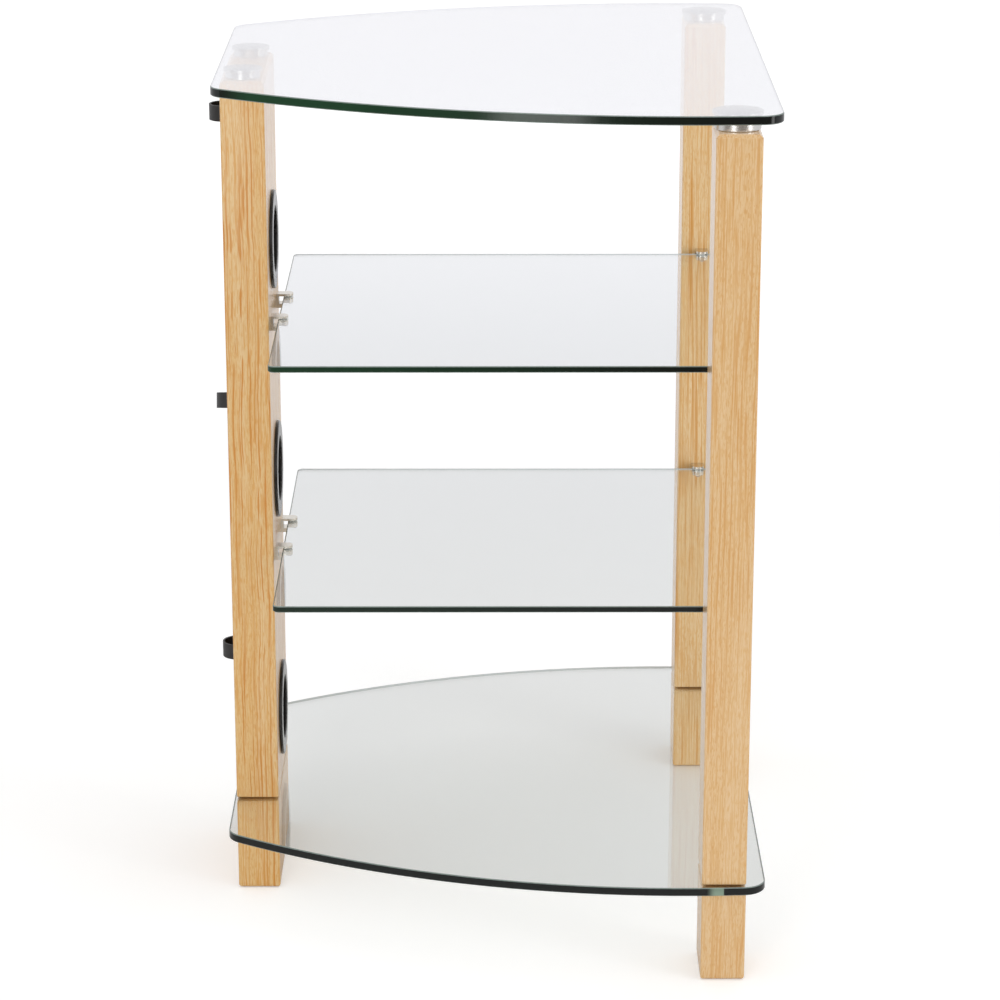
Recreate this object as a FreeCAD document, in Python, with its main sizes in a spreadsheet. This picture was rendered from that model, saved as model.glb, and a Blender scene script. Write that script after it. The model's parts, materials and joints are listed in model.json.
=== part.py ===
import FreeCAD, Part
import math
import os

import Sketcher

# A free-standing hi-fi rack: two oak front legs, one wide oak spine at the rear, bowed top and base glass and two
# rectangular shelves. X runs across the rack, the open front faces -Y, Z is up, and the origin lies on the floor
# under the middle of the rack. Left is -X, as seen from the front. Lengths are millimetres, angles are degrees.

DRIVING_SIZES = [
    ("glass_depth", 493, "top and base glass from front edge to rear edge"),
    ("glass_front_width", 564, "their straight front edge, corner to corner"),
    ("glass_rear_width", 316, "their straight rear edge, corner to corner"),
    ("glass_side_radius", 762, "radius of their bowed sides"),
    ("glass_corner_radius", 20, "rounding of their corners in plan"),
    ("glass_thickness", 8, "top and base glass"),
    ("glass_arris", 0.8, "bevel ground on every glass edge"),
    ("leg_width", 60, "front leg across the rack"),
    ("leg_depth", 40, "front leg from front to rear"),
    ("leg_side_inset", 2, "front legs inside the front corners of the glass"),
    ("leg_front_inset", 18, "front legs behind the front edge of the glass"),
    ("spine_width", 150, "spine across the rack"),
    ("spine_depth", 40, "spine from front to rear"),
    ("spine_rear_inset", 2, "spine ahead of the rear edge of the glass"),
    ("column_height", 685.5, "legs and spine above the base glass"),
    ("foot_height", 84.5, "feet below the base glass"),
    ("wood_edge_radius", 1.5, "rounding along the oak edges"),
    ("wood_end_radius", 1.8, "rounding of the oak ends that meet the base glass"),
    ("column_top_chamfer", 3, "chamfer round the top of legs and spine"),
    ("foot_toe_radius", 3.5, "rounding of the feet at the floor"),
    ("gasket_thickness", 0.5, "gaskets above and below the base glass"),
    ("gasket_margin", 4, "gaskets inside the outline of the oak"),
    ("support_height", 8.8, "discs between the uprights and the top glass"),
    ("support_bond", 0.2, "clear bond between the discs and the top glass"),
    ("support_flange", 2.5, "thickness of the flange under the glass"),
    ("support_rim", 2, "flange beyond the body of the disc"),
    ("support_edge", 0.4, "broken edge of the flange and foot of the disc"),
    ("leg_support_diameter", 40, "body of the discs on the legs"),
    ("spine_support_diameter", 31, "body of the discs on the spine"),
    ("spine_support_inset", 21, "discs on the spine, from its sides"),
    ("stud_diameter", 6, "studs in the discs"),
    ("stud_seat", 6, "depth of the studs in the discs"),
    ("stud_engagement", 16, "depth of the studs in the uprights"),
    ("stud_insert_diameter", 10, "inserts for the studs"),
    ("foot_bolt_diameter", 8, "bolts through the feet"),
    ("foot_bolt_head", 13, "diameter of the bolt heads"),
    ("foot_bolt_head_height", 8, "height of the bolt heads"),
    ("foot_bolt_socket", 6, "hexagon socket across its flats"),
    ("foot_bolt_engagement", 25, "depth of the bolts in the uprights"),
    ("foot_bolt_grip", 54, "oak between the bolt heads and the top of the feet"),
    ("foot_bolt_inset", 30, "bolts of the spine, from its sides"),
    ("bolt_insert_diameter", 12, "inserts for the foot bolts"),
    ("washer_diameter", 22, "washers under the bolt heads"),
    ("washer_thickness", 1.6, "washers under the bolt heads"),
    ("bush_wall", 2.5, "sleeves in the holes of the base glass"),
    ("upper_shelf_top", 558.5, "height of the upper shelf's upper face"),
    ("lower_shelf_top", 335, "height of the lower shelf's upper face"),
    ("shelf_thickness", 6, "middle shelves"),
    ("shelf_side_gap", 10, "between the shelves and the legs"),
    ("shelf_rear_gap", 7, "between the shelves and the spine"),
    ("shelf_front_inset", 5, "shelves behind the front faces of the legs"),
    ("shelf_corner_radius", 6, "rounding of the shelf corners in plan"),
    ("clip_width", 12, "shelf clips along the oak face"),
    ("clip_plate", 2.5, "back plate of the clips"),
    ("clip_tongue_hold", 6, "tongue over the glass, on the legs"),
    ("clip_tongue_thickness", 2.2, "tongue over the glass"),
    ("clip_lip_hold", 6, "lip under the glass, on the legs"),
    ("clip_lip_thickness", 4, "lip under the glass"),
    ("clip_end_flat", 1, "straight middle of the rounded tongue and lip"),
    ("clip_pad", 0.6, "clear pads between clip and glass"),
    ("clip_pad_margin", 1, "pads inside the tip of the clip and the edge of the glass"),
    ("spine_clip_inset", 33, "clips on the spine, from its sides"),
    ("clip_screw_diameter", 3.5, "screws that hold the clips to the oak"),
    ("clip_screw_head", 6, "diameter of their countersunk heads"),
    ("clip_screw_depth", 20, "their depth in the oak"),
    ("clamp_screw_diameter", 4, "grub screws in the clip lips"),
    ("clamp_screw_proud", 1.5, "grub screws below the clip lips"),
    ("port_bore", 62, "clear bore of the cable ports"),
    ("port_wall", 1.5, "sleeve of the cable ports"),
    ("port_flange", 92, "diameter of the port flanges"),
    ("port_flange_thickness", 3.2, "front flanges proud of the oak"),
    ("port_rear_flange_thickness", 2, "rear flanges proud of the oak"),
    ("port_flange_round", 1.4, "rounding of the flange's outer edge"),
    ("port_sleeve_gap", 6, "between the two sleeves inside the spine"),
    ("port_rise", 65, "centre of each port above the glass below it"),
    ("loop_width", 28, "cable loops across the rack"),
    ("loop_reach", 15.5, "cable loops out from the oak"),
    ("loop_side", 4, "straight sides of the loops, behind the spine"),
    ("loop_band", 14.5, "width of the strap, along the cables"),
    ("loop_wall", 1.8, "thickness of the strap"),
    ("loop_tab_thickness", 2.6, "screw tab beside the loop"),
    ("loop_arm", 21, "from the screw to the middle of the loop"),
    ("loop_play", 0.2, "tab clear of the oak and of the screw head"),
    ("loop_screw_diameter", 4, "screws of the cable loops"),
    ("loop_screw_head", 8, "diameter of their pan heads"),
    ("loop_screw_head_height", 2.4, "height of their pan heads"),
    ("loop_screw_depth", 22, "their depth in the oak"),
    ("loop_screw_slot", 1.2, "width of the cross recess"),
    ("loop_screw_slot_depth", 1.4, "depth of the cross recess"),
    ("upper_loop_drop", 35, "screw of the upper cable loop below the top of the spine"),
    ("loop_rise", 61, "screws of the other loops above their ports"),
    ("middle_loop_tilt", 17, "middle loop turned on its screw"),
    ("fit_clearance", 0.3, "round fits, on the radius"),
    ("thread_clearance", 0.1, "threads in their holes, on the radius"),
]

# Edges that rise less than this lie flat.
LEAST_RISE = 0.1


class Size:
    """A length that holds both its sheet expression and its present value."""

    def __init__(self, text, value):
        self.text = text
        self.value = value

    def __add__(self, other):
        other = as_size(other)
        return Size(f"({self.text} + {other.text})", self.value + other.value)

    def __sub__(self, other):
        other = as_size(other)
        return Size(f"({self.text} - {other.text})", self.value - other.value)

    def __mul__(self, other):
        other = as_size(other)
        return Size(f"({self.text} * {other.text})", self.value * other.value)

    def __truediv__(self, other):
        other = as_size(other)
        return Size(f"({self.text} / {other.text})", self.value / other.value)

    def __neg__(self):
        return self * -1


def as_size(number):
    return number if isinstance(number, Size) else Size(str(number), number)


doc = FreeCAD.newDocument("HifiRack")
sheet = doc.addObject("Spreadsheet::Sheet", "Sizes")
size = {}
for row, (name, value, note) in enumerate(DRIVING_SIZES, start=1):
    sheet.set(f"A{row}", name)
    sheet.set(f"B{row}", str(value))
    sheet.set(f"C{row}", note)
    sheet.setAlias(f"B{row}", name)
    size[name] = Size(f"Sizes.{name}", value)
doc.recompute()

nodes = []


# Helpers that bind an object to the sheet


def bind(obj, **properties):
    for prop, amount in properties.items():
        obj.setExpression(prop, as_size(amount).text)


def place(obj, x=0, y=0, z=0, axis=(0, 0, 1), angle=0):
    spot = [as_size(v) for v in (x, y, z)]
    turn = as_size(angle)
    base = FreeCAD.Vector(*[v.value for v in spot])
    obj.Placement = FreeCAD.Placement(base, FreeCAD.Rotation(FreeCAD.Vector(*axis), turn.value))
    for letter, v in zip("xyz", spot):
        obj.setExpression(f"Placement.Base.{letter}", v.text)
    if isinstance(angle, Size):
        obj.setExpression("Placement.Rotation.Angle", turn.text)
    return obj


def keep(obj, label):
    obj.Label = label
    nodes.append(obj)
    return obj


def cylinder(diameter, height, **spot):
    obj = doc.addObject("Part::Cylinder", "Cylinder")
    bind(obj, Radius=diameter / 2, Height=height)
    return place(obj, **spot)


def cone(diameter, end_diameter, height, **spot):
    obj = doc.addObject("Part::Cone", "Cone")
    bind(obj, Radius1=diameter / 2, Radius2=end_diameter / 2, Height=height)
    return place(obj, **spot)


def box(length, width, height, **spot):
    obj = doc.addObject("Part::Box", "Box")
    bind(obj, Length=length, Width=width, Height=height)
    return place(obj, **spot)


def fuse(*shapes):
    obj = doc.addObject("Part::MultiFuse", "Fuse")
    obj.Shapes = list(shapes)
    obj.Refine = True
    return obj


def cut(base, tool):
    obj = doc.addObject("Part::Cut", "Cut")
    obj.Base = base
    obj.Tool = tool
    obj.Refine = True
    return obj


def group(label, members):
    obj = doc.addObject("Part::Compound", "Group")
    obj.Links = members
    return keep(obj, label)


# Helpers that build a body from sketches


def new_body(label):
    return keep(doc.addObject("PartDesign::Body", label), label)


def new_sketch(body, plane_role, lift=0):
    plane = next(f for f in body.Origin.OriginFeatures if f.Role == plane_role)
    sketch = body.newObject("Sketcher::SketchObject", "Sketch")
    sketch.AttachmentSupport = [(plane, "")]
    sketch.MapMode = "FlatFace"
    sketch.AttachmentOffset = FreeCAD.Placement(FreeCAD.Vector(0, 0, as_size(lift).value), FreeCAD.Rotation())
    sketch.setExpression("AttachmentOffset.Base.z", as_size(lift).text)
    return sketch


def fix(sketch, kind, where, amount):
    index = sketch.addConstraint(Sketcher.Constraint(kind, *where, float(amount.value)))
    sketch.setExpression(f"Constraints[{index}]", amount.text)


def fix_point(sketch, geometry, vertex, point):
    for kind, amount in zip(("DistanceX", "DistanceY"), point):
        fix(sketch, kind, (-1, 1, geometry, vertex), as_size(amount))


def vector(point):
    return FreeCAD.Vector(as_size(point[0]).value, as_size(point[1]).value, 0)


def draw_outline(sketch, points, arcs=None):
    """A closed outline; arcs maps the index of a side to its bulge radius, other sides are straight."""
    arcs = arcs or {}
    first = sketch.GeometryCount
    count = len(points)
    for i, point in enumerate(points):
        start = vector(point)
        end = vector(points[(i + 1) % count])
        if i in arcs:
            radius = arcs[i].value
            chord = end - start
            outward = FreeCAD.Vector(chord.y, -chord.x, 0).normalize()
            rise = radius - math.sqrt(max(radius**2 - (chord.Length / 2) ** 2, 0))
            side = Part.Arc(start, (start + end) / 2 + outward * rise, end)
        else:
            side = Part.LineSegment(start, end)
        sketch.addGeometry(side, False)
    for i in range(count):
        after = first + (i + 1) % count
        sketch.addConstraint(Sketcher.Constraint("Coincident", first + i, 2, after, 1))
    for i, point in enumerate(points):
        fix_point(sketch, first + i, 1, point)
        if i in arcs:
            fix(sketch, "Radius", (first + i,), arcs[i])
    return sketch


def draw_rectangle(sketch, length, width):
    x = length / 2
    y = width / 2
    return draw_outline(sketch, [(-x, -y), (x, -y), (x, y), (-x, y)])


def draw_circles(sketch, circles):
    for x, y, diameter in circles:
        radius = as_size(diameter) / 2
        index = sketch.addGeometry(Part.Circle(vector((x, y)), FreeCAD.Vector(0, 0, 1), radius.value), False)
        fix_point(sketch, index, 3, (x, y))
        fix(sketch, "Radius", (index,), radius)
    return sketch


def pad(body, sketch, length, symmetric=False):
    feature = body.newObject("PartDesign::Pad", "Pad")
    feature.Profile = sketch
    feature.SideType = "Symmetric" if symmetric else "One side"
    bind(feature, Length=length)
    return feature


def revolve(body, sketch):
    feature = body.newObject("PartDesign::Revolution", "Revolution")
    feature.Profile = sketch
    feature.ReferenceAxis = (sketch, ["V_Axis"])
    feature.Angle = 360
    return feature


def drill(body, plane_role, circles, depth=None, lift=0, reverse=False):
    """Round holes from a lifted plane; with no depth they run right through the body."""
    feature = body.newObject("PartDesign::Pocket", "Pocket")
    feature.Profile = draw_circles(new_sketch(body, plane_role, lift), circles)
    feature.Reversed = reverse
    if depth is None:
        feature.Type = "ThroughAll"
        feature.SideType = "Symmetric"
    else:
        bind(feature, Length=depth)
    return feature


def is_straight_along(edge, direction):
    if not isinstance(edge.Curve, (Part.Line, Part.LineSegment)):
        return False
    return abs(abs(edge.tangentAt(edge.FirstParameter).dot(FreeCAD.Vector(*direction))) - 1) < 1e-6


def is_circle(edge):
    return isinstance(edge.Curve, Part.Circle)


def lies_at(edge, letter, value):
    near = getattr(edge.BoundBox, letter + "Min")
    far = getattr(edge.BoundBox, letter + "Max")
    return abs(near - value) < 1e-4 and abs(far - value) < 1e-4


def dress(body, kind, amount, wanted):
    """A fillet or chamfer on the edges of the body's last feature that the test wants."""
    doc.recompute()
    base = body.Tip
    names = [f"Edge{i}" for i, edge in enumerate(base.Shape.Edges, start=1) if wanted(edge)]
    feature = body.newObject(f"PartDesign::{kind}", kind)
    feature.Base = (base, names)
    if kind == "Fillet":
        bind(feature, Radius=amount)
    else:
        bind(feature, Size=amount)
    return feature


# Heights and places that follow from the driving sizes

foot_top = size["foot_height"]
base_glass_bottom = foot_top + size["gasket_thickness"]
base_glass_top = base_glass_bottom + size["glass_thickness"]
column_bottom = base_glass_top + size["gasket_thickness"]
column_top = column_bottom + size["column_height"]
top_glass_bottom = column_top + size["support_height"] + size["support_bond"]

# The rack's whole depth runs from the front edge of the glass to the tips of the cable loops.
loop_tip_overhang = size["loop_play"] + size["loop_reach"] - size["spine_rear_inset"]
glass_front = -(size["glass_depth"] + loop_tip_overhang) / 2
glass_rear = glass_front + size["glass_depth"]
leg_front = glass_front + size["leg_front_inset"]
leg_y = leg_front + size["leg_depth"] / 2
leg_x = size["glass_front_width"] / 2 - size["leg_side_inset"] - size["leg_width"] / 2
leg_inner_x = leg_x - size["leg_width"] / 2
spine_rear = glass_rear - size["spine_rear_inset"]
spine_front = spine_rear - size["spine_depth"]
spine_y = spine_rear - size["spine_depth"] / 2

shelf_front = leg_front + size["shelf_front_inset"]
shelf_rear = spine_front - size["shelf_rear_gap"]
shelf_width = (leg_inner_x - size["shelf_side_gap"]) * 2
shelf_tops = {"upper": size["upper_shelf_top"], "lower": size["lower_shelf_top"]}

left_right = {"left": -1, "right": 1}
spine_support_x = size["spine_width"] / 2 - size["spine_support_inset"]
spine_bolt_x = size["spine_width"] / 2 - size["foot_bolt_inset"]
spine_clip_x = size["spine_width"] / 2 - size["spine_clip_inset"]
support_spots = [(leg_x * sign, leg_y) for sign in left_right.values()]
support_spots += [(spine_support_x * sign, spine_y) for sign in left_right.values()]
bolt_spots = [(leg_x * sign, leg_y) for sign in left_right.values()]
bolt_spots += [(spine_bolt_x * sign, spine_y) for sign in left_right.values()]

# The screw of a clip sits at mid-thickness of the glass, behind its edge.
clip_screw_heights = [top - size["shelf_thickness"] / 2 - column_bottom for top in shelf_tops.values()]
port_heights = {
    "upper": size["upper_shelf_top"] + size["port_rise"],
    "middle": size["lower_shelf_top"] + size["port_rise"],
    "lower": base_glass_top + size["port_rise"],
}
loop_heights = {
    "upper": column_top - size["upper_loop_drop"],
    "middle": port_heights["middle"] + size["loop_rise"],
    "lower": port_heights["lower"] + size["loop_rise"],
}
loop_screw_x = size["loop_arm"]

stud_insert_hole = size["stud_insert_diameter"] + size["thread_clearance"] * 2
bolt_insert_hole = size["bolt_insert_diameter"] + size["thread_clearance"] * 2
bolt_hole = size["foot_bolt_diameter"] + size["fit_clearance"] * 2
bolt_recess_depth = size["foot_height"] - size["foot_bolt_grip"]
bolt_seat = bolt_recess_depth - size["washer_thickness"]
bush_diameter = bolt_hole + size["bush_wall"] * 2
clip_screw_hole = size["clip_screw_diameter"] + size["thread_clearance"] * 2
loop_screw_hole = size["loop_screw_diameter"] + size["thread_clearance"] * 2
port_sleeve_diameter = size["port_bore"] + size["port_wall"] * 2
port_hole = port_sleeve_diameter + size["fit_clearance"] * 2
port_sleeve_depth = (size["spine_depth"] - size["port_sleeve_gap"]) / 2

# One clip pattern serves all eight places, so it bridges the wider gap at the legs.
clip_tongue = size["shelf_side_gap"] + size["clip_tongue_hold"]
clip_lip = size["shelf_side_gap"] + size["clip_lip_hold"]
clip_end_radius = (size["clip_width"] - size["clip_end_flat"]) / 2
# The grub screw stands midway between the tip of the tongue and the end of the lip's straight sides.
clamp_screw_reach = (clip_tongue + clip_lip - clip_end_radius) / 2


# Oak uprights and feet


def oak_post(label, width, depth, height, top_chamfer=None, **spot):
    body = new_body(label)
    pad(body, draw_rectangle(new_sketch(body, "XY_Plane"), width, depth), height)
    if top_chamfer:
        dress(body, "Chamfer", top_chamfer, lambda edge: lies_at(edge, "Z", height.value))
    dress(body, "Fillet", size["wood_edge_radius"], lambda edge: edge.BoundBox.ZLength > LEAST_RISE)
    place(body, **spot)
    return body


def upright(label, width, depth, stud_xs, bolt_xs, **spot):
    height = size["column_height"]
    body = oak_post(label, width, depth, height, size["column_top_chamfer"], z=column_bottom, **spot)
    dress(body, "Fillet", size["wood_end_radius"], lambda edge: lies_at(edge, "Z", 0))
    studs = [(x, 0, stud_insert_hole) for x in stud_xs]
    drill(body, "XY_Plane", studs, size["stud_engagement"], lift=height)
    bolts = [(x, 0, bolt_insert_hole) for x in bolt_xs]
    drill(body, "XY_Plane", bolts, size["foot_bolt_engagement"], reverse=True)
    return body


def foot(label, width, depth, bolt_xs, **spot):
    body = oak_post(label, width, depth, size["foot_height"], **spot)
    dress(body, "Fillet", size["wood_end_radius"], lambda edge: lies_at(edge, "Z", size["foot_height"].value))
    dress(body, "Fillet", size["foot_toe_radius"], lambda edge: lies_at(edge, "Z", 0))
    drill(body, "XY_Plane", [(x, 0, bolt_hole) for x in bolt_xs])
    recess = size["washer_diameter"] + size["fit_clearance"] * 2
    drill(body, "XY_Plane", [(x, 0, recess) for x in bolt_xs], bolt_recess_depth, reverse=True)
    return body


def front_legs():
    width = size["leg_width"]
    depth = size["leg_depth"]
    pilots = [(0, height, clip_screw_hole) for height in clip_screw_heights]
    for side, sign in left_right.items():
        leg = upright(f"{side}_leg", width, depth, [0], [0], x=leg_x * sign, y=leg_y)
        drill(leg, "YZ_Plane", pilots, size["clip_screw_depth"], lift=width / 2 * -sign, reverse=sign > 0)
        foot(f"{side}_foot", width, depth, [0], x=leg_x * sign, y=leg_y)


def spine():
    width = size["spine_width"]
    depth = size["spine_depth"]
    stud_xs = [spine_support_x * sign for sign in left_right.values()]
    bolt_xs = [spine_bolt_x * sign for sign in left_right.values()]
    column = upright("spine_column", width, depth, stud_xs, bolt_xs, y=spine_y)
    ports = [(0, height - column_bottom, port_hole) for height in port_heights.values()]
    drill(column, "XZ_Plane", ports)
    clip_xs = [spine_clip_x * sign for sign in left_right.values()]
    pilots = [(x, height, clip_screw_hole) for x in clip_xs for height in clip_screw_heights]
    drill(column, "XZ_Plane", pilots, size["clip_screw_depth"], lift=depth / 2)
    loops = [(loop_screw_x, height - column_bottom, loop_screw_hole) for height in loop_heights.values()]
    drill(column, "XZ_Plane", loops, size["loop_screw_depth"], lift=-depth / 2, reverse=True)
    foot("spine_foot", width, depth, bolt_xs, y=spine_y)


# Glass


def finish_glass(body, thickness, corner_radius):
    dress(body, "Fillet", corner_radius, lambda edge: is_straight_along(edge, (0, 0, 1)))
    faces = (0, thickness.value)
    dress(body, "Chamfer", size["glass_arris"], lambda edge: any(lies_at(edge, "Z", face) for face in faces))


def bowed_glass(label, height):
    body = new_body(label)
    front = size["glass_front_width"] / 2
    rear = size["glass_rear_width"] / 2
    corners = [(-front, glass_front), (front, glass_front), (rear, glass_rear), (-rear, glass_rear)]
    bow = size["glass_side_radius"]
    outline = draw_outline(new_sketch(body, "XY_Plane"), corners, arcs={1: bow, 3: bow})
    pad(body, outline, size["glass_thickness"])
    finish_glass(body, size["glass_thickness"], size["glass_corner_radius"])
    return place(body, z=height)


def glass():
    bowed_glass("top_glass", top_glass_bottom)
    base = bowed_glass("base_glass", base_glass_bottom)
    hole = bush_diameter + size["fit_clearance"] * 2
    drill(base, "XY_Plane", [(x, y, hole) for x, y in bolt_spots])
    for level, top in shelf_tops.items():
        body = new_body(f"{level}_shelf")
        outline = draw_rectangle(new_sketch(body, "XY_Plane"), shelf_width, shelf_rear - shelf_front)
        pad(body, outline, size["shelf_thickness"])
        finish_glass(body, size["shelf_thickness"], size["shelf_corner_radius"])
        place(body, y=(shelf_front + shelf_rear) / 2, z=top - size["shelf_thickness"])


# Discs that carry the top glass, with their studs and inserts


def top_support(label, diameter, **spot):
    body = new_body(label)
    radius = diameter / 2
    rim = radius + size["support_rim"]
    bore = size["stud_diameter"] / 2 + size["thread_clearance"]
    height = size["support_height"]
    ledge = height - size["support_flange"]
    edge = size["support_edge"]
    profile = [
        (bore, 0),
        (radius - edge, 0),
        (radius, edge),
        (radius, ledge),
        (rim - edge, ledge),
        (rim, ledge + edge),
        (rim, height),
        (0, height),
        (0, size["stud_seat"]),
        (bore, size["stud_seat"]),
    ]
    revolve(body, draw_outline(new_sketch(body, "XZ_Plane"), profile))
    place(body, z=column_top, **spot)


def tube(outer, inner, height, **spot):
    return cut(cylinder(outer, height, **spot), cylinder(inner, height, **spot))


def top_supports():
    names = ["left_top_support", "right_top_support", "spine_left_top_support", "spine_right_top_support"]
    diameters = [size["leg_support_diameter"]] * 2 + [size["spine_support_diameter"]] * 2
    for name, diameter, (x, y) in zip(names, diameters, support_spots):
        top_support(name, diameter, x=x, y=y)
    stud_bottom = column_top - size["stud_engagement"]
    stud_length = size["stud_engagement"] + size["stud_seat"]
    studs = [cylinder(size["stud_diameter"], stud_length, x=x, y=y, z=stud_bottom) for x, y in support_spots]
    group("top_support_studs", studs)
    bore = size["stud_diameter"] + size["thread_clearance"] * 2
    length = size["stud_engagement"]
    outer = size["stud_insert_diameter"]
    inserts = [tube(outer, bore, length, x=x, y=y, z=stud_bottom) for x, y in support_spots]
    group("top_stud_inserts", inserts)


# Bolts that draw each foot and its upright together on the base glass


def foot_bolt(x, y):
    head_bottom = bolt_seat - size["foot_bolt_head_height"]
    head = cylinder(size["foot_bolt_head"], size["foot_bolt_head_height"], x=x, y=y, z=head_bottom)
    shank_length = column_bottom + size["foot_bolt_engagement"] - bolt_seat
    shank = cylinder(size["foot_bolt_diameter"], shank_length, x=x, y=y, z=bolt_seat)
    socket = doc.addObject("Part::Prism", "Socket")
    socket.Polygon = 6
    bind(socket, Circumradius=size["foot_bolt_socket"] / math.sqrt(3), Height=size["foot_bolt_head_height"] / 2)
    place(socket, x=x, y=y, z=head_bottom)
    return cut(fuse(head, shank), socket)


def gasket(width, depth, bolts, z):
    inside = size["gasket_margin"] * 2
    length = width - inside
    breadth = depth - inside
    middle_x = (bolts[0][0] + bolts[-1][0]) / 2
    y = bolts[0][1]
    piece = box(length, breadth, size["gasket_thickness"], x=middle_x - length / 2, y=y - breadth / 2, z=z)
    for x, y in bolts:
        piece = cut(piece, cylinder(bolt_hole, size["gasket_thickness"], x=x, y=y, z=z))
    return piece


def base_clamping():
    group("foot_bolts", [foot_bolt(x, y) for x, y in bolt_spots])
    outer = size["washer_diameter"]
    washers = [tube(outer, bolt_hole, size["washer_thickness"], x=x, y=y, z=bolt_seat) for x, y in bolt_spots]
    group("foot_bolt_washers", washers)
    thread = size["foot_bolt_diameter"] + size["thread_clearance"] * 2
    length = size["foot_bolt_engagement"]
    outer = size["bolt_insert_diameter"]
    inserts = [tube(outer, thread, length, x=x, y=y, z=column_bottom) for x, y in bolt_spots]
    group("foot_bolt_inserts", inserts)
    thickness = size["glass_thickness"]
    bushes = [tube(bush_diameter, bolt_hole, thickness, x=x, y=y, z=base_glass_bottom) for x, y in bolt_spots]
    group("base_glass_bushes", bushes)
    posts = [
        (size["leg_width"], size["leg_depth"], bolt_spots[0:1]),
        (size["leg_width"], size["leg_depth"], bolt_spots[1:2]),
        (size["spine_width"], size["spine_depth"], bolt_spots[2:4]),
    ]
    for label, z in (("leg_gaskets", base_glass_top), ("foot_gaskets", foot_top)):
        group(label, [gasket(width, depth, bolts, z) for width, depth, bolts in posts])


# Shelf clips: a back plate on the oak, a tongue over the glass and a lip under it. In its own frame a clip stands
# on the oak face at y = 0, reaches out along -Y, and has the underside of the glass at z = 0.


def shelf_clip(label, **spot):
    body = new_body(label)
    plate = size["clip_plate"]
    lip_top = -size["clip_pad"]
    lip_bottom = lip_top - size["clip_lip_thickness"]
    tongue_bottom = size["shelf_thickness"] + size["clip_pad"]
    tongue_top = tongue_bottom + size["clip_tongue_thickness"]
    profile = [
        (0, lip_bottom),
        (0, tongue_top),
        (-clip_tongue, tongue_top),
        (-clip_tongue, tongue_bottom),
        (-plate, tongue_bottom),
        (-plate, lip_top),
        (-clip_lip, lip_top),
        (-clip_lip, lip_bottom),
    ]
    pad(body, draw_outline(new_sketch(body, "YZ_Plane"), profile), size["clip_width"], symmetric=True)
    tips = (-clip_tongue.value, -clip_lip.value)
    dress(
        body,
        "Fillet",
        clip_end_radius,
        lambda edge: is_straight_along(edge, (0, 0, 1)) and any(lies_at(edge, "Y", tip) for tip in tips),
    )
    clamp_hole = size["clamp_screw_diameter"] + size["thread_clearance"] * 2
    clamp = [(0, -clamp_screw_reach, clamp_hole)]
    drill(body, "XY_Plane", clamp, size["clip_lip_thickness"], lift=lip_top)
    mid_glass = size["shelf_thickness"] / 2
    drill(body, "XZ_Plane", [(0, mid_glass, clip_screw_hole)], plate, lift=plate)
    countersink = (size["clip_screw_head"] - size["clip_screw_diameter"]) / 2
    dress(body, "Chamfer", countersink, lambda edge: is_circle(edge) and lies_at(edge, "Y", -plate.value))
    place(body, **spot)


def clip_spots(level):
    """Each clip's name, the foot of its back plate, the way it faces and the gap it bridges."""
    z = shelf_tops[level] - size["shelf_thickness"]
    spots = []
    for side, sign in left_right.items():
        x = spine_clip_x * sign
        spots.append((f"{level}_clip_spine_{side}", (x, spine_front, z), (0, -1), size["shelf_rear_gap"]))
    for side, sign in left_right.items():
        x = leg_inner_x * sign
        spots.append((f"{level}_clip_leg_{side}", (x, leg_y, z), (-sign, 0), size["shelf_side_gap"]))
    return spots


def along(spot, facing, reach):
    """The point at a reach from the oak face, straight out in front of the clip."""
    x, y, z = spot
    return x + reach * facing[0], y + reach * facing[1], z


def clip_turn(facing):
    """The turn about Z that brings -Y to the way the clip faces."""
    return math.degrees(math.atan2(facing[0], -facing[1]))


def clip_pad_pair(spot, facing, gap):
    """Two thin pads on the glass, under the tongue and on the lip, set in from the edges."""
    margin = size["clip_pad_margin"]
    breadth = size["clip_width"] / 2
    near = gap + margin
    pads = []
    levels = (
        (size["shelf_thickness"], clip_tongue - margin),
        (-size["clip_pad"], clip_lip - margin),
    )
    for lift, far in levels:
        pads.append(oriented_box(breadth, far - near, size["clip_pad"], spot, facing, near, lift))
    return pads


def oriented_box(breadth, length, height, spot, facing, near, lift):
    """A box in front of a clip, from the near reach outwards, centred across the clip."""
    x, y, z = along(spot, facing, near + length / 2)
    wide = breadth if facing[0] == 0 else length
    deep = length if facing[0] == 0 else breadth
    return box(wide, deep, height, x=x - wide / 2, y=y - deep / 2, z=z + lift)


def clamp_screw(spot, facing):
    x, y, z = along(spot, facing, clamp_screw_reach)
    length = size["clip_lip_thickness"] + size["clamp_screw_proud"]
    return cylinder(size["clamp_screw_diameter"], length, x=x, y=y, z=z - size["clip_pad"] - length)


def clip_screw(spot, facing):
    """A countersunk screw whose head lies flush with the inner face of the back plate."""
    head_height = (size["clip_screw_head"] - size["clip_screw_diameter"]) / 2
    x, y, z = along(spot, facing, size["clip_plate"])
    level = z + size["shelf_thickness"] / 2
    turn = {"axis": (facing[1], -facing[0], 0), "angle": 90}
    head = cone(size["clip_screw_head"], size["clip_screw_diameter"], head_height, x=x, y=y, z=level, **turn)
    length = size["clip_screw_depth"] + size["clip_plate"] - head_height
    x, y, _ = along(spot, facing, size["clip_plate"] - head_height)
    shank = cylinder(size["clip_screw_diameter"], length, x=x, y=y, z=level, **turn)
    return fuse(head, shank)


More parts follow.
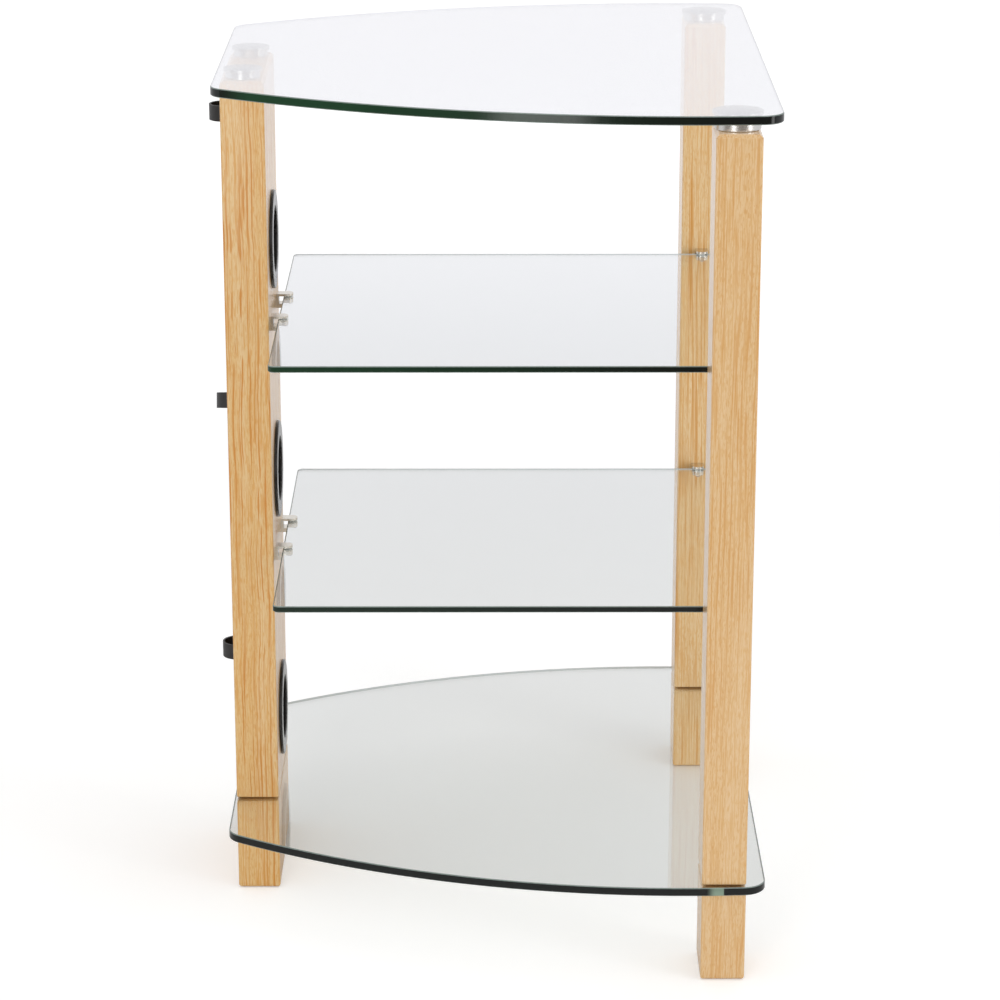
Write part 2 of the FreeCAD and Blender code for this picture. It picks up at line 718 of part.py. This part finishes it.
def shelf_clips():
    for level in shelf_tops:
        pads = []
        clamps = []
        fixings = []
        for label, spot, facing, gap in clip_spots(level):
            x, y, z = spot
            shelf_clip(label, x=x, y=y, z=z, angle=clip_turn(facing))
            pads += clip_pad_pair(spot, facing, gap)
            clamps.append(clamp_screw(spot, facing))
            fixings.append(clip_screw(spot, facing))
        group(f"{level}_clip_pads", pads)
        group(f"{level}_clip_clamp_screws", clamps)
        group(f"{level}_clip_fixing_screws", fixings)


# Cable ports: a flanged sleeve from each face of the spine


def port(label, proud, z, y, angle):
    body = new_body(label)
    bore = size["port_bore"] / 2
    sleeve = port_sleeve_diameter / 2
    flange = size["port_flange"] / 2
    profile = [
        (bore, -port_sleeve_depth),
        (sleeve, -port_sleeve_depth),
        (sleeve, 0),
        (flange, 0),
        (flange, proud),
        (bore, proud),
    ]
    revolve(body, draw_outline(new_sketch(body, "XZ_Plane"), profile))
    dress(body, "Fillet", size["port_flange_round"], lambda edge: is_circle(edge) and lies_at(edge, "Z", proud.value))
    place(body, y=y, z=z, axis=(1, 0, 0), angle=angle)


def cable_ports():
    for level, height in port_heights.items():
        port(f"{level}_port_front", size["port_flange_thickness"], height, spine_front, 90)
        port(f"{level}_port_rear", size["port_rear_flange_thickness"], height, spine_rear, -90)


# Cable loops: a D-shaped strap with a screw tab. In its own frame the screw axis is Y, the oak face is y = 0 and
# the loop lies along -X.


def bow_radius(half, rise):
    return (half * half + rise * rise) / (rise * 2)


def cable_loop(label, height, tilt):
    body = new_body(label)
    half = size["loop_width"] / 2
    reach = size["loop_reach"]
    wall = size["loop_wall"]
    middle = -size["loop_arm"]
    shoulder = size["loop_side"]
    tab_end = size["loop_band"] / 2
    outer = [
        (middle - half, 0),
        (tab_end, 0),
        (tab_end, size["loop_tab_thickness"]),
        (middle + half, size["loop_tab_thickness"]),
        (middle + half, shoulder),
        (middle, reach),
        (middle - half, shoulder),
    ]
    bow = bow_radius(half, reach - shoulder)
    sketch = draw_outline(new_sketch(body, "XY_Plane"), outer, arcs={4: bow, 5: bow})
    inner = half - wall
    inner_reach = reach - wall
    bore = [
        (middle - inner, wall),
        (middle + inner, wall),
        (middle + inner, shoulder),
        (middle, inner_reach),
        (middle - inner, shoulder),
    ]
    inner_bow = bow_radius(inner, inner_reach - shoulder)
    draw_outline(sketch, bore, arcs={2: inner_bow, 3: inner_bow})
    pad(body, sketch, size["loop_band"], symmetric=True)
    end_round = tab_end - size["fit_clearance"]
    dress(
        body,
        "Fillet",
        end_round,
        lambda edge: is_straight_along(edge, (0, 1, 0)) and lies_at(edge, "X", tab_end.value),
    )
    hole = size["loop_screw_diameter"] + size["fit_clearance"] * 2
    drill(body, "XZ_Plane", [(0, 0, hole)])
    place(body, x=loop_screw_x, y=spine_rear + size["loop_play"], z=height, axis=(0, 1, 0), angle=tilt)


def loop_screw(height):
    """A pan-head screw with a cross recess, its axis along Y."""
    under_head = spine_rear + size["loop_tab_thickness"] + size["loop_play"] * 2
    spot = {"x": loop_screw_x, "z": height, "axis": (1, 0, 0)}
    head_height = size["loop_screw_head_height"]
    head = cylinder(size["loop_screw_head"], head_height, y=under_head, angle=-90, **spot)
    length = size["loop_screw_depth"] + under_head - spine_rear
    shank = cylinder(size["loop_screw_diameter"], length, y=under_head, angle=90, **spot)
    slot = size["loop_screw_slot"]
    reach = size["loop_screw_head"] / 2
    bottom = under_head + head_height - size["loop_screw_slot_depth"]
    slots = []
    for wide, tall in ((reach, slot), (slot, reach)):
        corner = {"x": loop_screw_x - wide / 2, "y": bottom, "z": height - tall / 2}
        slots.append(box(wide, size["loop_screw_slot_depth"], tall, **corner))
    return cut(fuse(head, shank), fuse(*slots))


def cable_loops():
    tilts = {"upper": 0, "middle": size["middle_loop_tilt"], "lower": 0}
    for level, height in loop_heights.items():
        cable_loop(f"{level}_cable_loop", height, tilts[level])
    group("cable_loop_screws", [loop_screw(height) for height in loop_heights.values()])


# Build, test and write


def check():
    faults = []
    for obj in doc.Objects:
        if "Invalid" in obj.State or "Error" in obj.State:
            faults.append(f"{obj.Label}: {obj.State}")
    for node in nodes:
        if node.Shape.isNull() or not node.Shape.isValid():
            faults.append(f"{node.Label}: bad shape")
    if faults:
        raise RuntimeError("; ".join(faults))


def write():
    os.makedirs("parts", exist_ok=True)
    for node in nodes:
        node.Shape.exportStep(os.path.join("parts", f"{node.Label}.step"))


front_legs()
spine()
glass()
top_supports()
base_clamping()
shelf_clips()
cable_ports()
cable_loops()
doc.recompute()
check()
write()
print(f"{len(nodes)} nodes written")
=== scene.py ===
import json
import math

import bpy
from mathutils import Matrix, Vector


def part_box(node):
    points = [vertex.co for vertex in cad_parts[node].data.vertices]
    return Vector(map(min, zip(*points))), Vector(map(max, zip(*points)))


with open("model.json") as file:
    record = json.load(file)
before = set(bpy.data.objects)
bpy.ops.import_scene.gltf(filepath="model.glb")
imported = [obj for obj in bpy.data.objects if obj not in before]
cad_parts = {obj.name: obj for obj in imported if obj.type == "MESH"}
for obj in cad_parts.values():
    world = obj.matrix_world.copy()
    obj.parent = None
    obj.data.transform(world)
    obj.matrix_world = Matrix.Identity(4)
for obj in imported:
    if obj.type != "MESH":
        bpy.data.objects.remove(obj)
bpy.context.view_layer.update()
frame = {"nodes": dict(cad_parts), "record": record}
nodes = frame["nodes"]
print("frame loaded:", len(nodes), "nodes")


class Wire:
    # One shader output. Maths on wires adds its own nodes.
    def __init__(self, tree, socket=None):
        self.tree = tree
        self.socket = socket

    def make(self, kind, settings=None, sockets=None, output=0):
        node = self.tree.nodes.new(kind)
        for name, value in (settings or {}).items():
            if name == "stops":
                self.setStops(node.color_ramp, value)
            else:
                setattr(node, name, value)
        for name, value in (sockets or {}).items():
            if isinstance(value, Wire):
                self.tree.links.new(value.socket, node.inputs[name])
            else:
                node.inputs[name].default_value = value
        return Wire(self.tree, node.outputs[output] if node.outputs else None)

    def setStops(self, ramp, stops):
        while len(ramp.elements) < len(stops):
            ramp.elements.new(1)
        for element, (place, colour) in zip(ramp.elements, stops):
            element.position = place
            element.color = colour

    def math(self, operation, first, second=0.0):
        return self.make("ShaderNodeMath", {"operation": operation}, {0: first, 1: second})

    def __add__(self, other):
        return self.math("ADD", self, other)

    def __radd__(self, other):
        return self.math("ADD", other, self)

    def __sub__(self, other):
        return self.math("SUBTRACT", self, other)

    def __rsub__(self, other):
        return self.math("SUBTRACT", other, self)

    def __mul__(self, other):
        return self.math("MULTIPLY", self, other)

    def __rmul__(self, other):
        return self.math("MULTIPLY", other, self)

    def __abs__(self):
        return self.math("ABSOLUTE", self)

    def most(self, other):
        return self.math("MAXIMUM", self, other)

    # 0 below low, 1 above high, smooth between
    def rise(self, low, high):
        sockets = {"Value": self, "From Min": low, "From Max": high}
        return self.make("ShaderNodeMapRange", {"interpolation_type": "SMOOTHSTEP"}, sockets)

    # a colour between two others, by this wire: a Mix node has its colours at 6 and 7 and their mix at 2
    def blend(self, first, second):
        sockets = {0: self, 6: first, 7: second}
        return self.make("ShaderNodeMix", {"data_type": "RGBA"}, sockets, output=2)

    def vectorMath(self, operation, other):
        return self.make("ShaderNodeVectorMath", {"operation": operation}, {0: self, 1: other})

    def scaled(self, factors):
        return self.vectorMath("MULTIPLY", factors)

    def moved(self, other):
        return self.vectorMath("ADD", other)

    def length(self):
        return self.make("ShaderNodeVectorMath", {"operation": "LENGTH"}, {0: self}, output="Value")

    def part(self, letter):
        return self.make("ShaderNodeSeparateXYZ", {}, {0: self}, output=letter)

    def noise(self, detail=2.0, roughness=0.5, output=0):
        sockets = {"Vector": self, "Scale": 1.0, "Detail": detail, "Roughness": roughness}
        return self.make("ShaderNodeTexNoise", {}, sockets, output)


# a colour as a picture editor shows it, 0 to 255
def shade(red, green, blue):
    levels = []
    for level in (red, green, blue):
        level /= 255
        levels.append(level / 12.92 if level <= 0.04045 else ((level + 0.055) / 1.055) ** 2.4)
    return (*levels, 1.0)


def newMaterial(name):
    material = bpy.data.materials.new(name)
    material.use_nodes = True
    material.node_tree.nodes.clear()
    return material, Wire(material.node_tree)


def closeMaterial(wire, surface):
    wire.make("ShaderNodeOutputMaterial", {}, {"Surface": surface})


# metres in the rack's own frame
def place(wire):
    return wire.make("ShaderNodeTexCoord", output="Object")


# 1 for rays of one kind, such as Shadow or Glossy
def rays(wire, kind):
    return wire.make("ShaderNodeLightPath", output=f"Is {kind} Ray")


def bumped(wire, height, strength, depth):
    sockets = {"Height": height, "Strength": strength, "Distance": depth}
    return wire.make("ShaderNodeBump", {}, sockets)


# Oak veneer: ring lines and streaks run up the post, with pores as short dashes, under a satin lacquer.
# Lines are given by their number to a metre across and along the post and by their strength.

spineOak = {
    "light": shade(228, 192, 135),
    "middle": shade(225, 184, 118),
    "line": shade(217, 158, 74),
    "strongLine": shade(206, 132, 24),
    "pore": shade(211, 150, 66),
    "seed": (0.31, 1.7, 0.0),
    "wave": 0.007,
    "slant": 0.0,
    "strongLines": (520, 2.5, 1.0),
    "lines": (900, 8.0, 0.9),
    "fineLines": (1300, 110.0, 0.75),
    "poreAmount": 0.65,
}
leftOak = {
    "light": shade(229, 194, 145),
    "middle": shade(227, 190, 138),
    "line": shade(220, 172, 107),
    "strongLine": shade(214, 158, 86),
    "pore": shade(213, 157, 86),
    "seed": (2.13, 0.4, 0.0),
    "wave": 0.003,
    "slant": 0.012,
    "strongLines": (700, 6.0, 0.9),
    "lines": (1000, 16.0, 0.85),
    "fineLines": (1350, 140.0, 0.7),
    "poreAmount": 0.75,
}
rightOak = {
    "light": shade(236, 205, 156),
    "middle": shade(233, 199, 146),
    "line": shade(226, 174, 104),
    "strongLine": shade(214, 149, 62),
    "pore": shade(219, 163, 88),
    "seed": (4.57, 3.9, 0.0),
    "wave": 0.003,
    "slant": -0.01,
    "strongLines": (560, 3.0, 1.0),
    "lines": (900, 12.0, 0.9),
    "fineLines": (1300, 110.0, 0.7),
    "poreAmount": 0.65,
}
# what all three posts share, with noise scales to a metre and the levels between which a noise turns on
oakGrain = {
    "drift": (14, 14, 10),
    "band": (90, 90, 2.5),
    "bandRise": (0.36, 0.64),
    "patch": (30, 30, 6),
    "patchRise": (0.3, 0.55),
    "lineRise": (0.55, 0.67),
    "lineSink": 0.3,
    "pore": (1300, 1300, 180),
    "poreRise": (0.55, 0.66),
    "poreBandRise": (0.4, 0.6),
    "poreLeast": 0.3,
    "bump": 0.12,
    "bumpDepth": 0.0002,
}
lacquer = {"roughness": 0.42, "lineRoughness": 0.1, "coat": 1.0, "coatRoughness": 0.25}


# thin lines along the crests of a noise that is drawn out up the post
def grainLines(grain, across, along, amount):
    crests = grain.scaled((across, across, along)).noise(0.0)
    return crests.rise(*oakGrain["lineRise"]) * amount


def oakMaterial(name, look):
    material, wire = newMaterial(name)
    spot = place(wire).moved(look["seed"])
    drift = spot.scaled(oakGrain["drift"]).noise(output="Color").moved((-0.5, -0.5, -0.5))
    lean = spot.part("Z") * look["slant"]
    slant = wire.make("ShaderNodeCombineXYZ", {}, {"X": lean, "Y": lean})
    grain = spot.moved(drift.scaled((look["wave"],) * 3)).moved(slant)
    band = grain.scaled(oakGrain["band"]).noise()
    patch = grain.scaled(oakGrain["patch"]).noise().rise(*oakGrain["patchRise"])
    lines = grainLines(grain, *look["lines"])
    strongLines = grainLines(grain, *look["strongLines"]) * patch
    fineLines = grainLines(grain, *look["fineLines"])
    # pores are crowded where the band is dark
    least = oakGrain["poreLeast"]
    crowding = least + (1.0 - least) * band.rise(*oakGrain["poreBandRise"])
    pores = grain.scaled(oakGrain["pore"]).noise(1.0).rise(*oakGrain["poreRise"])
    pores = pores * crowding * look["poreAmount"]
    colour = band.rise(*oakGrain["bandRise"]).blend(look["light"], look["middle"])
    colour = fineLines.blend(colour, look["line"])
    colour = lines.blend(colour, look["line"])
    colour = strongLines.blend(colour, look["strongLine"])
    colour = pores.blend(colour, look["pore"])
    relief = 1.0 - pores - oakGrain["lineSink"] * lines
    sockets = {
        "Base Color": colour,
        "Roughness": lacquer["roughness"] + lacquer["lineRoughness"] * fineLines,
        "Normal": bumped(wire, relief, oakGrain["bump"], oakGrain["bumpDepth"]),
        "Coat Weight": lacquer["coat"],
        "Coat Roughness": lacquer["coatRoughness"],
    }
    closeMaterial(wire, wire.make("ShaderNodeBsdfPrincipled", {}, sockets))
    return material


# Clear float glass: polished faces, ground bevels and dark green edges

shelfGlass = {
    "tint": (0.93, 0.945, 0.94, 1),
    "pass": (0.972, 0.98, 0.976, 1),
    "index": 1.5,
    "waveScale": (3, 9, 1),
    "wave": 0.02,
    "waveDepth": 0.002,
    "smearScale": (14, 14, 14),
    "smearRise": (0.55, 0.8),
    "smearRoughness": 0.012,
    "coat": 0.0,
}
topGlass = {**shelfGlass, "coat": 1.0}
# places along Y and heights are in metres; insideTopRise is a share of the height mask
glassEdge = {
    # the edge's painted light and shade: green at the brighter end, near black at the shaded end
    "green": shade(27, 64, 41),
    "dark": shade(5, 11, 9),
    "greenFrom": (-0.24, 0.2),
    "greenTo": (0.2, 0.235),
    "heightRise": (0.05, 0.85),
    "cloudScale": (16, 16, 16),
    "mottleScale": (400, 400, 60),
    "mottleRoughness": 0.1,
    # pale ground bevel: partly its frosted grinding, partly a painted highlight along the arris
    "bevel": shade(150, 164, 158),
    # edge colours seen from within: painted light through the glass, with grey painted shade on the front
    # and rear edges and the palest painted light on the top
    "inside": shade(196, 204, 204),
    "insideEnd": shade(92, 90, 80),
    "insideEndRise": (0.4, 0.8),
    "insideTop": shade(228, 231, 238),
    "insideTopRise": (0.8, 0.95),
    # painted light: a pale patch where each front bush shows through the base's edge
    "bush": shade(150, 172, 152),
    "bushFrom": (-0.2155, -0.2145),
    "bushTo": (-0.208, -0.199),
    "bushHeight": (0.0, 0.02),
    "roughness": 0.1,
    "specular": 0.36,
    "bump": 0.05,
    "bumpDepth": 0.0002,
}


def glassFaceMaterial(name, look):
    material, wire = newMaterial(name)
    spot = place(wire)
    # rollers leave a faint wave in toughened glass
    wave = spot.scaled(look["waveScale"]).noise(1.0)
    smear = spot.scaled(look["smearScale"]).noise(4.0, 0.6).rise(*look["smearRise"])
    sockets = {
        "Base Color": look["tint"],
        "Roughness": look["smearRoughness"] * smear,
        "IOR": look["index"],
        "Transmission Weight": 1.0,
        "Normal": bumped(wire, wave, look["wave"], look["waveDepth"]),
        "Coat Weight": look["coat"],
        "Coat Roughness": 0.0,
    }
    clear = wire.make("ShaderNodeBsdfPrincipled", {}, sockets)
    through = wire.make("ShaderNodeBsdfTransparent", {}, {"Color": look["pass"]})
    # lamps and soft light pass straight through the pane
    passing = rays(wire, "Shadow").most(rays(wire, "Diffuse"))
    closeMaterial(wire, wire.make("ShaderNodeMixShader", {}, {0: passing, 1: clear, 2: through}))
    return material


# about 0.7 to 1.3 over a noise
def uneven(noise):
    return 0.7 + 0.6 * noise


# 1 along Y from the first range to the second, soft at both ends
def between(spot, start, end):
    return spot.part("Y").rise(*start) * (1.0 - spot.part("Y").rise(*end))


def glassEdgeMaterial(name, bevelAmount):
    material, wire = newMaterial(name)
    spot = place(wire)
    # painted light and shade: the edge is painted greener and brighter towards the rear and higher up,
    # where less glass lies behind it, and near black elsewhere
    along = between(spot, glassEdge["greenFrom"], glassEdge["greenTo"])
    upward = spot.part("Z").rise(*glassEdge["heightRise"])
    cloud = spot.scaled(glassEdge["cloudScale"]).noise(3.0)
    mottle = spot.scaled(glassEdge["mottleScale"]).noise()
    colour = (along * upward * uneven(cloud)).blend(glassEdge["dark"], glassEdge["green"])
    # the ground bevel is painted pale: partly its frosted grinding, partly a painted highlight along the
    # arris
    if bevelAmount:
        colour = (bevelAmount * uneven(mottle)).blend(colour, glassEdge["bevel"])
    # painted light: the bush of each front bolt is painted as a pale patch on the edge of the base, where
    # it shows through
    bush = between(spot, glassEdge["bushFrom"], glassEdge["bushTo"])
    atBase = 1.0 - upward.rise(*glassEdge["bushHeight"])
    colour = (bush * atBase).blend(colour, glassEdge["bush"])
    # seen from within, the edges are painted with the light through the glass: the edges of the top
    # palest, the rest pale, and the front and rear ones of the others grey as painted shade
    facing = abs(wire.make("ShaderNodeNewGeometry", output="Normal").part("X"))
    end = 1.0 - facing.rise(*glassEdge["insideEndRise"])
    inside = end.blend(glassEdge["inside"], glassEdge["insideEnd"])
    inside = upward.rise(*glassEdge["insideTopRise"]).blend(inside, glassEdge["insideTop"])
    within = wire.make("ShaderNodeNewGeometry", output="Backfacing")
    sockets = {
        "Base Color": within.blend(colour, inside),
        "Roughness": glassEdge["roughness"] + glassEdge["mottleRoughness"] * mottle,
        "Normal": bumped(wire, mottle, glassEdge["bump"], glassEdge["bumpDepth"]),
        "Specular IOR Level": glassEdge["specular"],
    }
    closeMaterial(wire, wire.make("ShaderNodeBsdfPrincipled", {}, sockets))
    return material


# Metals: turned discs, plated clips, plain screws and brass inserts

turnedAluminium = {
    "colour": shade(206, 205, 202),
    "wear": shade(182, 180, 176),
    "roughness": 0.2,
    "lines": 1800,
    "stretch": 0.75,
}
satinPlate = {
    # slightly warm tones: partly the nickel plating's own, partly a painted reflection of the oak around
    # the clips
    "colour": shade(216, 211, 200),
    "wear": shade(186, 178, 162),
    "roughness": 0.2,
    "lines": 500,
    "stretch": 0.0,
}
zincSteel = {
    **satinPlate,
    "colour": shade(176, 176, 178),
    "wear": shade(130, 128, 122),
    "roughness": 0.28,
}
plainBrass = {**zincSteel, "colour": shade(204, 170, 104), "wear": shade(150, 118, 62)}
metalWear = {
    "cloud": (60, 60, 60),
    "cloudRise": (0.5, 0.85),
    "amount": 0.6,
    "across": 20,
    "lineRoughness": 0.12,
    "bump": 0.03,
    "bumpDepth": 0.00005,
}


# a turned piece has its tool lines round its own axis
def metalMaterial(name, look, axis=None):
    material, wire = newMaterial(name)
    spot = place(wire)
    if axis:
        radius = spot.moved((-axis[0], -axis[1], 0)).scaled((1, 1, 0)).length()
        turned = wire.make("ShaderNodeCombineXYZ", {}, {"X": radius, "Z": spot.part("Z")})
        lines = turned.scaled((look["lines"], 1, look["lines"])).noise()
    else:
        lines = spot.scaled((metalWear["across"], metalWear["across"], look["lines"])).noise()
    cloud = spot.scaled(metalWear["cloud"]).noise(4.0, 0.6)
    worn = cloud.rise(*metalWear["cloudRise"]) * metalWear["amount"]
    sockets = {
        "Base Color": worn.blend(look["colour"], look["wear"]),
        "Metallic": 1.0,
        "Roughness": look["roughness"] + metalWear["lineRoughness"] * lines * cloud,
        "Normal": bumped(wire, lines, metalWear["bump"], metalWear["bumpDepth"]),
        "Anisotropic": look["stretch"],
    }
    closeMaterial(wire, wire.make("ShaderNodeBsdfPrincipled", {}, sockets))
    return material


# Mouldings: ports, cable loops, gaskets and clear pads

portPlastic = {
    "colour": shade(24, 22, 21),
    "pale": shade(48, 45, 43),
    "roughness": 0.16,
    "grit": 900,
    "bump": 0.05,
}
loopPlastic = {
    "colour": shade(33, 31, 31),
    "pale": shade(58, 56, 55),
    "roughness": 0.42,
    "grit": 1500,
    "bump": 0.2,
}
gasketRubber = {
    "colour": shade(176, 126, 70),
    "pale": shade(196, 146, 88),
    "roughness": 0.7,
    "grit": 1300,
    "bump": 0.3,
}
clearPad = {
    "colour": shade(224, 226, 222),
    "pale": shade(236, 238, 236),
    "roughness": 0.3,
    "grit": 700,
    "bump": 0.1,
}
mouldDust = {
    "scale": (55, 55, 55),
    "rise": (0.5, 0.8),
    "amount": 0.5,
    "roughness": 0.12,
    "gritRoughness": 0.05,
    "bumpDepth": 0.0002,
}


def mouldedMaterial(name, look):
    material, wire = newMaterial(name)
    spot = place(wire)
    grit = spot.scaled((look["grit"],) * 3).noise()
    dust = spot.scaled(mouldDust["scale"]).noise(4.0, 0.65).rise(*mouldDust["rise"])
    unevenness = mouldDust["roughness"] * dust + mouldDust["gritRoughness"] * grit
    sockets = {
        "Base Color": (dust * mouldDust["amount"]).blend(look["colour"], look["pale"]),
        "Roughness": look["roughness"] + unevenness,
        "Normal": bumped(wire, grit, look["bump"], mouldDust["bumpDepth"]),
    }
    closeMaterial(wire, wire.make("ShaderNodeBsdfPrincipled", {}, sockets))
    return material


def paint(node, material):
    mesh = nodes[node].data
    mesh.materials.clear()
    mesh.materials.append(material)


# Flat faces are clear, upright faces are the dark edge and what lies between is the ground bevel
glassSlopes = {"flat": 0.95, "upright": 0.3}


def paintGlass(node, face, edge, bevel):
    mesh = nodes[node].data
    mesh.materials.clear()
    for material in (face, edge, bevel):
        mesh.materials.append(material)
    for polygon in mesh.polygons:
        slope = abs(polygon.normal.z)
        if slope > glassSlopes["flat"]:
            polygon.material_index = 0
        else:
            polygon.material_index = 1 if slope < glassSlopes["upright"] else 2


oakOf = {
    "spine_column": oakMaterial("spineOak", spineOak),
    "left_leg": oakMaterial("leftLegOak", leftOak),
    "right_leg": oakMaterial("rightLegOak", rightOak),
}
oakOf["spine_foot"] = oakOf["spine_column"]
oakOf["left_foot"] = oakOf["left_leg"]
oakOf["right_foot"] = oakOf["right_leg"]
plainFinishes = {
    "chrome": metalMaterial("satinPlate", satinPlate),
    "steel": metalMaterial("zincSteel", zincSteel),
    "brass": metalMaterial("plainBrass", plainBrass),
    "rubber": mouldedMaterial("gasketRubber", gasketRubber),
    "clear_plastic": mouldedMaterial("clearPad", clearPad),
    "black_gloss": mouldedMaterial("portPlastic", portPlastic),
    "black_matte": mouldedMaterial("loopPlastic", loopPlastic),
}
edgeFinishes = (glassEdgeMaterial("glassEdge", 0.0), glassEdgeMaterial("glassBevel", 0.65))
shelfFace = glassFaceMaterial("shelfGlassFace", shelfGlass)
topFace = glassFaceMaterial("topGlassFace", topGlass)
for row in frame["record"]["subparts"]:
    node = row["node"]
    if row["material_slot"] == "oak":
        paint(node, oakOf[node])
    elif row["material_slot"] == "clear_glass":
        paintGlass(node, topFace if node == "top_glass" else shelfFace, *edgeFinishes)
    elif row["material_slot"] == "aluminium":
        low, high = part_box(node)
        axis = [(low[0] + high[0]) / 2, (low[1] + high[1]) / 2]
        paint(node, metalMaterial(node + "Aluminium", turnedAluminium, axis))
    else:
        paint(node, plainFinishes[row["material_slot"]])
print("finishes done:", len(bpy.data.materials), "materials")


# Studio: pale floor, white surroundings, soft lamps

floorLook = {
    "size": 80.0,
    "drop": 0.0004,
    "colour": (0.8, 0.8, 0.8, 1),
    "nearGlow": (0.34, 0.34, 0.34, 1),
    "farGlow": (0.56, 0.56, 0.56, 1),
    "nearThrough": (0.06, 0.06, 0.06, 1),
    "farThrough": (0.36, 0.36, 0.38, 1),
    "dim": (0.3, 0.27, 0.24, 1),
    "nearReach": 0.9,
    "farReach": 3.2,
    "dimReach": (0.9, 1.8),
}
# mirrored surroundings by the sine of their elevation: white backdrop, grey ceiling
roomLook = {
    "colour": (1, 1, 1, 1),
    "ambient": 0.66,
    "seen": 1.0,
    "mirrored": [
        (0.0, (1.0, 1.0, 1.0, 1)),
        (0.17, (0.97, 0.963, 1.0, 1)),
        (0.26, (0.95, 0.95, 1.0, 1)),
        (0.38, (1.0, 1.0, 1.0, 1)),
        (0.6, (0.75, 0.75, 0.76, 1)),
        (1.0, (0.6, 0.6, 0.6, 1)),
    ],
}
# two tall softboxes stand beside the camera and a wide one hangs above
lamps = [
    {
        "name": "frontSoftbox",
        "at": (-1.55, -2.48, 0.85),
        "aim": (0, 0, 0.5),
        "size": (0.7, 1.6),
        "power": 13,
    },
    {
        "name": "rearSoftbox",
        "at": (-2.64, 0.8, 0.85),
        "aim": (0, 0, 0.5),
        "size": (0.7, 1.6),
        "power": 13,
    },
    {
        "name": "topSoftbox",
        "at": (-0.3, -0.1, 3.0),
        "aim": (0, 0, 0),
        "size": (2.2, 2.2),
        "power": 20,
    },
]
cameraLook = {
    "at": (-3.12235, -0.00873, 1.36476),
    "tilt": 17.7,
    "pan": -0.1,
    "lens": 123.8,
    "sensor": 36,
}


# rays that show the surroundings, straight, mirrored or through glass
def raySeen(wire):
    return rays(wire, "Camera").most(rays(wire, "Glossy")).most(rays(wire, "Transmission"))


def makeFloor():
    half = floorLook["size"] / 2
    corners = [(-half, -half), (half, -half), (half, half), (-half, half)]
    mesh = bpy.data.meshes.new("studioFloor")
    mesh.from_pydata([(x, y, -floorLook["drop"]) for x, y in corners], [], [(0, 1, 2, 3)])
    floor = bpy.data.objects.new("studioFloor", mesh)
    bpy.context.scene.collection.objects.link(floor)
    material, wire = newMaterial("studioFloor")
    spot = place(wire)
    outward = spot.length().rise(floorLook["nearReach"], floorLook["farReach"])
    glowColour = outward.blend(floorLook["nearGlow"], floorLook["farGlow"])
    throughColour = outward.blend(floorLook["nearThrough"], floorLook["farThrough"])
    # seen in lacquer or through glass the floor keeps more of its own grey
    indirect = rays(wire, "Transmission").most(rays(wire, "Glossy"))
    glowColour = indirect.blend(glowColour, throughColour)
    matt = wire.make("ShaderNodeBsdfDiffuse", {}, {"Color": floorLook["colour"]})
    glow = wire.make("ShaderNodeEmission", {}, {"Color": glowColour})
    lit = wire.make("ShaderNodeAddShader", {}, {0: matt, 1: glow})
    shown = wire.make("ShaderNodeMixShader", {}, {0: raySeen(wire), 1: matt, 2: lit})
    # metal and lacquer mirror the darker studio behind the camera
    dim = wire.make("ShaderNodeEmission", {}, {"Color": floorLook["dim"]})
    behind = (0.0 - spot.part("X")).rise(*floorLook["dimReach"])
    dimmed = rays(wire, "Glossy") * behind
    closeMaterial(wire, wire.make("ShaderNodeMixShader", {}, {0: dimmed, 1: shown, 2: dim}))
    mesh.materials.append(material)


def makeRoom():
    world = bpy.data.worlds.new("studioRoom")
    bpy.context.scene.world = world
    world.use_nodes = True
    world.node_tree.nodes.clear()
    wire = Wire(world.node_tree)
    ahead = wire.make("ShaderNodeTexCoord", output="Generated")
    mirrored = wire.make("ShaderNodeValToRGB", {"stops": roomLook["mirrored"]}, {0: ahead.part("Z")})

    def background(colour, strength):
        return wire.make("ShaderNodeBackground", {}, {"Color": colour, "Strength": strength})

    soft = background(roomLook["colour"], roomLook["ambient"])
    seen = background(roomLook["colour"], roomLook["seen"])
    mirror = background(mirrored, roomLook["seen"])
    shown = wire.make("ShaderNodeMixShader", {}, {0: rays(wire, "Glossy"), 1: seen, 2: mirror})
    both = wire.make("ShaderNodeMixShader", {}, {0: raySeen(wire), 1: soft, 2: shown})
    wire.make("ShaderNodeOutputWorld", {}, {"Surface": both})


def makeLamps():
    for look in lamps:
        light = bpy.data.lights.new(look["name"], "AREA")
        light.shape = "RECTANGLE"
        light.size, light.size_y = look["size"]
        light.energy = look["power"]
        lamp = bpy.data.objects.new(look["name"], light)
        lamp.location = look["at"]
        ahead = Vector(look["aim"]) - lamp.location
        lamp.rotation_euler = ahead.to_track_quat("-Z", "Y").to_euler()
        lamp.visible_camera = False
        lamp.visible_transmission = False
        bpy.context.scene.collection.objects.link(lamp)


def makeCamera():
    camera = bpy.data.objects.new("photoCamera", bpy.data.cameras.new("photoCamera"))
    bpy.context.scene.collection.objects.link(camera)
    camera.data.lens = cameraLook["lens"]
    camera.data.sensor_width = cameraLook["sensor"]
    camera.location = cameraLook["at"]
    tilt = math.radians(cameraLook["tilt"])
    pan = math.radians(cameraLook["pan"])
    level = math.cos(tilt)
    ahead = Vector((level * math.cos(pan), level * math.sin(pan), -math.sin(tilt)))
    camera.rotation_euler = ahead.to_track_quat("-Z", "Y").to_euler()
    bpy.context.scene.camera = camera


makeFloor()
makeRoom()
makeLamps()
makeCamera()
bpy.context.scene.view_settings.view_transform = "Standard"
print("studio done")
